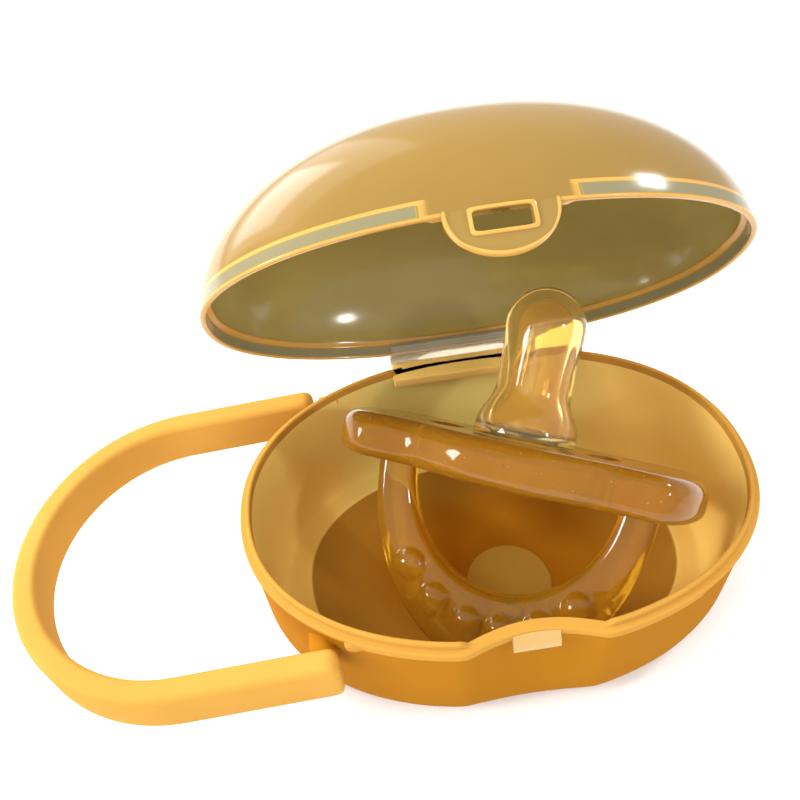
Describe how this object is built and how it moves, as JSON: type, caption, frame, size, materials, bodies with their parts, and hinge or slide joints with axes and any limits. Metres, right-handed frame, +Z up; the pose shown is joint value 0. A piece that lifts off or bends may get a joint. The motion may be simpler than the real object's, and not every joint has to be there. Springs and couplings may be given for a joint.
{
  "type": "pacifier with carry case",
  "caption": "Soft pacifier with a nipple, butterfly shield and ring handle, standing in an open hinged carry case with a latch tab and a turning strap handle.",
  "frame": {"origin": "centre of the flat underside of the case", "axes": "+X along the case away from the handle, +Y to the lid's hinge, +Z up"},
  "size_m": [0.102, 0.0606, 0.0678],
  "materials": {
    "case_plastic": "translucent satin",
    "lid_plastic": "translucent gloss",
    "hinge_plastic": "translucent gloss",
    "strap_plastic": "translucent satin",
    "pacifier_silicone": "clear gloss silicone",
    "nipple_silicone": "clear gloss silicone"
  },
  "bodies": {
    "base": {"base_shell": "case_plastic", "latch_catch": "case_plastic", "handle_peg_front": "case_plastic", "handle_peg_rear": "case_plastic", "hinge_leaf_base": "hinge_plastic", "hinge_web": "hinge_plastic"},
    "lid": {"hinge_leaf_lid": "hinge_plastic", "lid_shell": "lid_plastic", "latch_tab": "lid_plastic"},
    "handle": {"handle_strap": "strap_plastic"},
    "pacifier": {"nipple": "nipple_silicone", "shield": "pacifier_silicone", "ring_handle": "pacifier_silicone"}
  },
  "joints": [
    {"name": "lid_hinge", "type": "hinge", "parent": "base", "child": "lid", "pos_m": [0, 0.02565, 0.021], "axis": [-1, 0, 0], "range_deg": [-61, 34], "deforming": ["hinge_web", "nipple"]},
    {"name": "handle_pivot", "type": "hinge", "parent": "base", "child": "handle", "pos_m": [-0.0256, 0, 0.0164], "axis": [0, 1, 0], "range_deg": [-80, 60]},
    {"name": "pacifier_takeout", "type": "hinge", "parent": "base", "child": "pacifier", "pos_m": [0, -0.025, 0.022], "axis": [1, 0, 0], "range_deg": [0, 150]}
  ]
}
